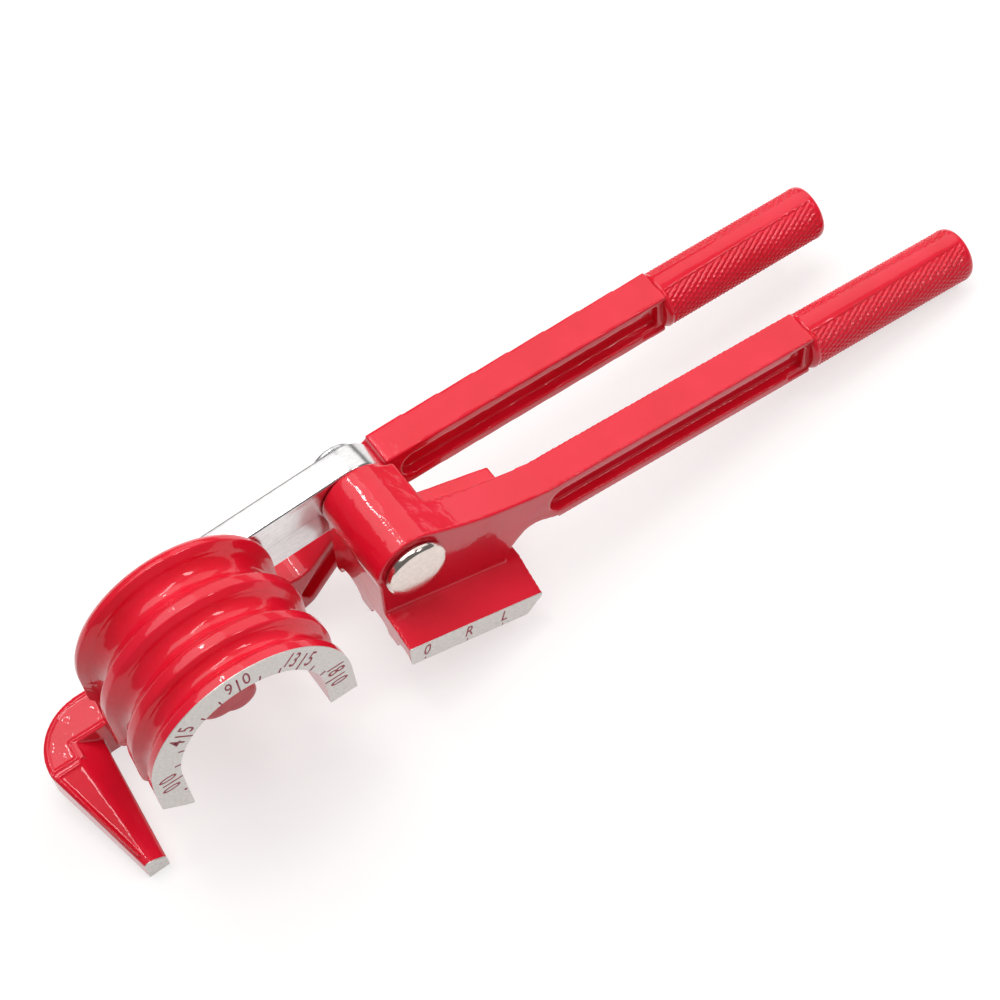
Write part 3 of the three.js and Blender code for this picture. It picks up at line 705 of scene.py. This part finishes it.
print("shoe casting after the melt:", len(shoe_bm.faces), "faces")

# %% [markdown]
# The front of the shoe is cut flat and bare, like the drum's face, and a thin skin of it becomes
# the machined strip.

# %% Machine the shoe's front
SHOE_STRIP = 2.5
strip_bm = shoe_bm.copy()
cut_flat(shoe_bm, (0, SHOE_STRIP + FACE_SKIN, 0), (0, -1, 0))
cut_flat(strip_bm, (0, SHOE_STRIP + FACE_SKIN, 0), (0, 1, 0))
cut_flat(strip_bm, (0, SHOE_STRIP + 0.03, 0), (0, -1, 0))
finished("shoe_handle_casting", shoe_bm, SHOE, RED_PAINT, "shoe_handle",
         ("shoe_hub", "forming_shoe", "shoe_handle_shank"))
finished("shoe_mark_strip", strip_bm, SHOE, MACHINED, "shoe_handle", sharp=30)

shoe_marks = bmesh.new()
on_strip = moved(BENCH, y=SHOE_STRIP + PROUD)
for letter, x in (("0", 1.5), ("R", 15.8), ("L", 28.0)):
    lettered(shoe_marks, letter, 6.4, moved(on_strip, x=x, z=-24.6), wide=0.72)
    block(shoe_marks, (x - 0.18, x + 0.18), (-PROUD, PROUD), (-28.6, -27.7), on_strip)
finished("shoe_strip_marks", shoe_marks, SHOE, MARK_PAINT, "shoe_handle")

# %% [markdown]
# ## The knurled grips
# Both handles end in a round grip with a diamond knurl, painted over so that the points are soft.
# Two families of helical grooves cross, one of them deeper. Thirty-two starts round the grip give
# diamonds about 1.7 mm wide and 3 mm long. The mould opens along the top and the bottom, so a
# smooth band runs there, level with the shank.

# %% How deep the knurl goes
STARTS = 32
LEAD = 3.0
DEEP, SHALLOW = 0.62, 0.4


def knurl_depth(x, y, z, length):
    """How far the knurl presses a point of the grip in; nothing in the smooth bands and ends."""
    turn = STARTS * math.atan2(y, z) / (2 * math.pi)
    left = abs(2 * ((turn + x / LEAD) % 1) - 1)
    right = abs(2 * ((turn - x / LEAD) % 1) - 1)
    from_seam = math.degrees(math.atan2(abs(y), abs(z)))
    smooth_band = 22 - 8 * x / length
    fade = min(1.0, (x - 1.4) / 1.2, (length - 2.0 - x) / 1.2, (from_seam - smooth_band) / 2.5)
    return max(DEEP * right, SHALLOW * left) * max(fade, 0.0)


print("deepest place of a 60 mm knurl:", round(knurl_depth(30.0, 8.6, 0.0, 60.0), 2), "mm")

# %% [markdown]
# The grip itself is a turned profile with a fine mesh, and each point of it moves towards the axis
# by the knurl's depth there. Real geometry, not a bump, gives the grip its rough edge.

# %% Turn and knurl the grips
GRIP = 8.6
AROUND, ALONG = 384, 0.3


def grip(name, length, middle, step, body, node):
    """A knurled grip along X that starts at the step's origin."""
    bm = bmesh.new()
    profile = [(0, 0), (0, 7.0), (0.3, 7.9), (1.0, 8.4)]
    straight = length - 3.4
    count = int(straight / ALONG)
    profile += [(1.4 + i * straight / count, GRIP) for i in range(count + 1)]
    profile += [(length - 1.0, 8.45), (length - 0.5, 8.15), (length - 0.2, 7.6),
                (length - 0.1, 6.9), (length - 0.1, 0)]
    verts = [bm.verts.new((x, 0, r)) for x, r in profile]
    for a, b in zip(verts, verts[1:]):
        bm.edges.new((a, b))
    bmesh.ops.spin(bm, geom=bm.verts[:] + bm.edges[:], cent=(0, 0, 0), axis=(1, 0, 0),
                   angle=2 * math.pi, steps=AROUND, use_merge=True)
    bmesh.ops.remove_doubles(bm, verts=bm.verts[:], dist=0.001)
    for vert in bm.verts:
        x, y, z = vert.co
        r = math.hypot(y, z)
        if r > GRIP - 0.02:
            shrink = (r - knurl_depth(x, y, z, length)) / r
            vert.co.y *= shrink
            vert.co.z *= shrink
    bmesh.ops.translate(bm, vec=(0, middle, 0), verts=bm.verts[:])
    finished(name, bm, step, RED_PAINT, body, (node,))


grip("main_grip_knurled", 58.5, 53.7, moved(DRUM @ MAIN_SHANK_STEP, x=94.8), "main_casting",
     "main_grip")
grip("shoe_grip_knurled", 61.0, 20.4, moved(SHOE @ SHOE_SHANK_STEP, x=93.5), "shoe_handle",
     "shoe_grip")

# %% [markdown]
# ## The latch
# The hook that holds the tube's end is a casting of its own. It lies flat behind the web and turns
# a wide round corner. The corner is drawn from above, so its arc is a vertex spun about an upright
# axis, and the outline is extruded down.

# %% Latch hub, arm and round corner
LATCH_FRONT = 44.1
LATCH_BACK = 57.2
TOP = -33.9
ELBOW_Y = 39.2
BEND_X = -31.4
BEND_RADIUS = 18.0
latch = bmesh.new()
turned(latch, [(0, LATCH_FRONT), (9.2, LATCH_FRONT), (9.5, 44.4), (9.5, 56.9),
               (9.2, LATCH_BACK), (0, LATCH_BACK)], 0, LATCH_PIVOT)
plate(latch, [(-8.3, -20.2, 0), (8.5, -29, 0), (7, -34.5, 0), (-8, bench_under(-8), 0),
              (-30, bench_under(-30), 0), (-30, TOP, 0), (-23, TOP, 5)], LATCH_FRONT, LATCH_BACK)
bend = bmesh.new()
arc_start = bend.verts.new((BEND_X - BEND_RADIUS, ELBOW_Y, TOP))
arc = bmesh.ops.spin(bend, geom=[arc_start], cent=(BEND_X, ELBOW_Y, TOP), axis=(0, 0, 1),
                     angle=-math.pi / 2, steps=32)
arc_end = verts_in(arc["geom_last"])[0]
inner = [bend.verts.new((x, y, TOP)) for x, y in ((-24, LATCH_BACK), (-24, LATCH_FRONT),
                                                  (-38.7, LATCH_FRONT), (-38.7, ELBOW_Y))]
for a, b in zip([arc_end, *inner], [*inner, arc_start]):
    bend.edges.new((a, b))
flat = bmesh.ops.edgeloop_fill(bend, edges=bend.edges[:])["faces"]
extruded(bend, flat, (0, 0, -18))
DOWN = (math.tan(math.radians(LEAN)), 0, -1)
cut_flat(bend, (-37, 0, bench_under(-37)), DOWN)
cut_flat(bend, (-49.4, 0, -43.5), (-6.8, 0, -12.4))
pour(latch, bend)
print("latch arm:", len(latch.faces), "faces before the melt")

# %% [markdown]
# From the corner the finger reaches forward under the grooves to a bare filed tip. It narrows all
# the way and its top falls, so it is a tight skin round two sections, like shrink film. It runs a
# little past the tip, where the melt would round it, and is cut off there later.

# %% Finger
TIP_Y = 4.9
OVERSHOOT = 1.06


def hull(bm, *sections):
    """The tight skin round a few sections of (x, z) points, each at its depth."""
    part = bmesh.new()
    for depth, points in sections:
        for x, z in points:
            part.verts.new((x, depth, z))
    bmesh.ops.convex_hull(part, input=part.verts[:])
    pour(bm, part)


root = [(-48.7, -43.5), (-37, bench_under(-37)), (-31.5, bench_under(-31.5)), (-31.5, -40.4),
        (-38.5, TOP), (-48.7, TOP)]
elbow = [(-49.4, -43.5), (-37, bench_under(-37)), (-31.9, bench_under(-31.9)), (-31.9, -40.8),
         (-32.3, -40.1), (-39.4, TOP - 0.6), (-40.25, TOP - 0.16), (-41.2, TOP), (-49.4, TOP)]
tip = [(-41.2, bench_under(-41.2)), (-37.9, bench_under(-37.9)), (-34.7, bench_under(-34.7)),
       (-34.7, -45.7), (-35.5, -44.6), (-38.0, -43.2), (-39.3, -42.8), (-40.5, -43.0),
       (-41.2, -43.6)]
beyond = [(x + (x1 - x) * OVERSHOOT, z + (z1 - z) * OVERSHOOT)
          for (x, z), (x1, z1) in zip(elbow, tip)]
hull(latch, (44.5, root), (ELBOW_Y, elbow))
hull(latch, (ELBOW_Y, elbow), (ELBOW_Y + (TIP_Y - ELBOW_Y) * OVERSHOOT, beyond))
print("with the finger:", len(latch.faces), "faces")

# %% [markdown]
# A thin raised border runs just inside the edge of the two flat panels. It is a round bead laid
# there before the melt, so that it flows into the panel. A bead is a poly curve with a bevel depth,
# turned into mesh.

# %% Raised borders
def bead(bm, points, radius):
    """A round bead along a line of points."""
    curve = bpy.data.curves.new("bead", "CURVE")
    curve.dimensions = "3D"
    curve.bevel_depth = radius
    curve.bevel_resolution = 2
    curve.use_fill_caps = True
    spline = curve.splines.new("POLY")
    spline.points.add(len(points) - 1)
    for point, place in zip(spline.points, points):
        point.co = (*place, 1)
    pour(bm, mesh_of(curve))


def panel_top(y):
    """The height of the latch's top panels: flat on the arm, falling along the finger."""
    return TOP - 7.9 * max(0.0, ELBOW_Y - y) / (ELBOW_Y - TIP_Y)


arm_border = [(-14, 56.0), (-31.4, 56.0), (-35.6, 55.5), (-39.8, 53.9), (-43.6, 51.0),
              (-46.4, 47.1), (-47.9, 42.6), (-48.1, 39.9), (-40.6, 39.9), (-40.2, 45.3),
              (-24, 45.3)]
finger_border = [(-40.9, 38.0), (-48.0, 38.0), (-44.6, 23.0), (-40.9, 7.5)]
for border in (arm_border, finger_border):
    bead(latch, [(x, y, panel_top(y) - 0.05) for x, y in border], 0.42)
latch_bm = melted(latch, voxel=0.34, rounds=4)
cut_flat(latch_bm, (0, 0, bench_under(0) + 0.02), DOWN)
tip_bm = latch_bm.copy()
cut_flat(latch_bm, (0, TIP_Y + FACE_SKIN, 0), (0, -1, 0))
cut_flat(tip_bm, (0, TIP_Y + FACE_SKIN, 0), (0, 1, 0))
cut_flat(tip_bm, (0, TIP_Y, 0), (0, -1, 0))
finished("latch_casting", latch_bm, DRUM, RED_PAINT, "latch",
         ("latch_arm", "latch_finger"))
finished("latch_tip_face", tip_bm, DRUM, MACHINED, "latch", sharp=30)

# %% [markdown]
# ## The link bar
# The link is not cast but cut from flat aluminium bar: parallel sides, fully round ends, and
# tumbled edges. It is an outline with rounded corners, extruded, with its rims bevelled.

# %% Link
LINK_HALF = 10.35
LINK_ROUND = 10.33
LINK_BACK = 52.6
link_bm = bmesh.new()
link_end = LINK_REACH + LINK_HALF
plate(link_bm, [(-LINK_HALF, -LINK_HALF, LINK_ROUND), (link_end, -LINK_HALF, LINK_ROUND),
                (link_end, LINK_HALF, LINK_ROUND), (-LINK_HALF, LINK_HALF, LINK_ROUND)],
      43.6, LINK_BACK)
rims = [e for e in link_bm.edges if abs(e.verts[0].co.y - e.verts[1].co.y) < 0.01]
bmesh.ops.bevel(link_bm, geom=rims, affect="EDGES", offset=0.7, offset_type="OFFSET", segments=4,
                profile=0.5, material=-1)
finished("link_bar_tumbled", link_bm, LINK, TUMBLED, "link", ("link_bar",), sharp=50)

# %% [markdown]
# ## Pins, washers and retaining rings
# The pivot pin's domed head is the one bright spot of the tool, with a turned bevel round a flat
# dome. At the back every pin ends in a groove for its retaining ring. All three are profiles spun
# round the pin's axis, and share the profile of that end.

# %% Pins
def tail(radius, carried):
    """The back end of a pin behind what it carries."""
    return [(radius, carried + 1.6), (radius - 0.8, carried + 1.6), (radius - 0.8, carried + 2.9),
            (radius, carried + 2.9), (radius, carried + 3.7), (radius - 0.5, carried + 4.2),
            (0, carried + 4.2)]


head = [(0, 11.2), (4.0, 11.22), (7.0, 11.3), (8.2, 11.38), (8.7, 11.55), (9.15, 11.95),
        (9.35, 12.4), (9.4, 12.8), (9.4, 13.3), (9.2, 13.5), (8.4, 13.5), (8.4, 14.4), (5, 14.4)]
PIVOT_RADIUS, CENTRE_RADIUS, LATCH_RADIUS = 5, 4, 3.5
pivot = bmesh.new()
turned(pivot, head + tail(PIVOT_RADIUS, LINK_BACK), steps=128)
finished("pivot_pin_chromed", pivot, moved(LINK, x=LINK_REACH), CHROME, "link",
         ("pivot_pin",), sharp=35)
centre = bmesh.new()
centre_head = [(0, 28.2), (6.6, 28.2), (7.0, 28.6), (7.0, 30.2), (CENTRE_RADIUS, 30.2)]
turned(centre, centre_head + tail(CENTRE_RADIUS, LINK_BACK))
finished("centre_pin_plated", centre, DRUM, PLATED, "main_casting",
         ("centre_pin",), sharp=35)
latch_pin = bmesh.new()
turned(latch_pin, [(0, 29.2), (LATCH_RADIUS, 29.2)] + tail(LATCH_RADIUS, LATCH_BACK), 0,
       LATCH_PIVOT)
finished("latch_pin_plated", latch_pin, DRUM, PLATED, "main_casting",
         ("latch_pin",), sharp=35)

# %% [markdown]
# Each pin carries a washer, and an open ring sits in its groove. Both are one small section swept
# round the pin, the washer all the way and the ring only part of it.

# %% Washers and retaining rings
RING_SWEEP = 290.0


def hoop(bm, inner, outer, front, back, z, sweep=360.0):
    """A flat ring round the Y axis at a height, open at the bottom where it is no full turn."""
    part = bmesh.new()
    start = math.radians(180 + (360 - sweep) / 2)
    corners = [part.verts.new((r * math.sin(start), y, z + r * math.cos(start)))
               for r, y in ((inner, front), (outer, front), (outer, back), (inner, back))]
    section = part.faces.new(corners)
    bmesh.ops.spin(part, geom=[section, *section.edges, *section.verts], cent=(0, 0, z),
                   axis=(0, 1, 0), angle=math.radians(sweep), steps=72, use_merge=sweep == 360)
    bmesh.ops.remove_doubles(part, verts=part.verts[:], dist=0.001)
    if sweep == 360:
        # After a full turn the section that was swept is a wall inside the ring.
        walls = [f for f in part.faces if all(len(e.link_faces) > 2 for e in f.edges)]
        bmesh.ops.delete(part, geom=walls, context="FACES_ONLY")
    bmesh.ops.recalc_face_normals(part, faces=part.faces[:])
    bmesh.ops.bevel(part, geom=[e for e in part.edges if e.calc_face_angle(0) > 1.0],
                    affect="EDGES", offset=0.12, offset_type="OFFSET", segments=2, profile=0.5,
                    material=-1)
    pour(bm, part)


for name, radius, carried, place, body, z in (
        ("centre", CENTRE_RADIUS, LINK_BACK, DRUM, "main_casting", 0),
        ("pivot", PIVOT_RADIUS, LINK_BACK, moved(LINK, x=LINK_REACH), "link", 0),
        ("latch", LATCH_RADIUS, LATCH_BACK, DRUM, "main_casting", LATCH_PIVOT)):
    washer = bmesh.new()
    hoop(washer, radius + 0.3, radius + 3.0, carried + 0.3, carried + 1.3, z)
    finished(f"{name}_washer_plated", washer, place, PLATED, body,
             (f"{name}_washer",), sharp=35)
    ring = bmesh.new()
    hoop(ring, radius - 0.75, radius + 2.4, carried + 1.75, carried + 2.75, z, RING_SWEEP)
    finished(f"{name}_ring_plated", ring, place, PLATED, body,
             (f"{name}_retaining_ring",), sharp=35)

# %% [markdown]
# ## The bench and the light
# The photograph is a plain product shot on a white sheet. Here the sheet glows, but only for the
# camera, a mirror or glass, so it looks white and the tool's shadow still falls on it.

# %% White sheet
def staged(name, bm, material):
    """A piece of the studio, which rides on no body."""
    obj = as_object(name, bm)
    obj.data.materials.append(material)
    obj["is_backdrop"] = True
    return obj


def seen_directly(tree):
    """1 for rays from the camera, off a mirror or through glass, otherwise 0."""
    path = tree.nodes.new("ShaderNodeLightPath")
    first = tree.nodes.new("ShaderNodeMath")
    first.operation = "MAXIMUM"
    tree.links.new(path.outputs["Is Camera Ray"], first.inputs[0])
    tree.links.new(path.outputs["Is Glossy Ray"], first.inputs[1])
    second = tree.nodes.new("ShaderNodeMath")
    second.operation = "MAXIMUM"
    tree.links.new(first.outputs[0], second.inputs[0])
    tree.links.new(path.outputs["Is Transmission Ray"], second.inputs[1])
    return second.outputs[0]


PAPER_GLOW = 0.66
sheet_paper, tree, shader = new_material("sheet_paper")
shader.inputs["Base Color"].default_value = (0.45, 0.44, 0.43, 1)
shader.inputs["Roughness"].default_value = 0.9
shader.inputs["Specular IOR Level"].default_value = 0.1
shader.inputs["Emission Color"].default_value = (1, 1, 1, 1)
tree.links.new(scaled(tree, seen_directly(tree), PAPER_GLOW), shader.inputs["Emission Strength"])
sheet = bmesh.new()
bmesh.ops.create_circle(sheet, segments=96, radius=3.0, cap_ends=True)
staged("white_sheet", sheet, sheet_paper)
print("sheet glows", PAPER_GLOW, "where it is seen")

# %% [markdown]
# Gloss paint only looks deep red where it mirrors something dark, so the room stays dim.

# %% Dim room
ROOM_LIGHT = 0.18
world = bpy.data.worlds.new("dim_room")
bpy.context.scene.world = world
world.use_nodes = True
room = world.node_tree.nodes["Background"]
room.inputs["Color"].default_value = (1, 1, 1, 1)
room.inputs["Strength"].default_value = ROOM_LIGHT
print("room light:", ROOM_LIGHT)

# %% [markdown]
# Three kinds of lamp share the work: two weak fills that throw no mirror image, a pale ceiling and
# a window behind the tool that the flat tops mirror, and three small lamps whose images are the
# bright squiggles.

# %% Lamps
def lamp(name, x, direction, distance, size, glow, mirrored=True):
    """A lamp of (width, height) metres, aimed at x on the bench; a glow of 1 is paper white."""
    data = bpy.data.lights.new(name, "AREA")
    data.shape = "RECTANGLE"
    data.size, data.size_y = size
    data.energy = glow * math.pi * size[0] * size[1]
    obj = bpy.data.objects.new(name, data)
    bpy.context.scene.collection.objects.link(obj)
    way = Vector(direction).normalized()
    obj.location = Vector((x, 0, 0.03)) + way * distance
    obj.rotation_mode = "QUATERNION"
    obj.rotation_quaternion = way.to_track_quat("Z", "Y")
    obj.visible_glossy = mirrored
    print(name, "gives", round(data.energy, 2), "W")


lamp("wide_fill", 0.0, (0, 0.2, 1), 1.7, (2.2, 2.2), 0.3, mirrored=False)
lamp("front_fill", 0.0, (-0.1, -0.9, 0.45), 1.6, (1.6, 1.0), 0.6, mirrored=False)
lamp("rear_left_ceiling", 0.0, (-0.12, 0.38, 0.91), 1.5, (1.4, 0.9), 1.9)
lamp("rear_right_window", 0.05, (0.6, 0.5, 0.6), 1.6, (1.1, 1.3), 1.15)
lamp("overhead_strip", 0.0, (0.08, 0.08, 1), 1.5, (0.75, 0.18), 10.0)
lamp("front_right_strip", 0.0, (0.53, -0.28, 0.8), 1.5, (0.5, 0.2), 11.0)
lamp("rear_spot", 0.0, (-0.06, 0.49, 0.86), 1.5, (0.06, 0.1), 30.0)

# %% [markdown]
# ## The camera
# The camera was solved from the photograph: the drum's circles, the parallel edges of the handles
# and the joints' places fix where it stood. It looks down steeply from the front left.

# %% Camera
lens = bpy.data.cameras.new("camera")
lens.lens = 83.43
lens.sensor_width = 36.0
lens.clip_start = 0.05
camera = bpy.data.objects.new("camera", lens)
bpy.context.scene.collection.objects.link(camera)
camera.location = (-0.133763, -0.310663, 0.591955)
camera.rotation_euler = [math.radians(a) for a in (29.61246, 7.26018, -34.84367)]
bpy.context.scene.camera = camera
bpy.context.scene.view_settings.view_transform = "Standard"
print("the camera stands", round(camera.location.length, 3), "m from the middle of the bench")

# %% [markdown]
# ## The size of the drawn tool
# The drawn tool must be as big as its solids. So the box round what is drawn is printed in
# millimetres.

# %% Sizes, and the last line
low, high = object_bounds()
print("visual box in mm:", [round(1000 * (b - a), 1) for a, b in zip(low, high)])
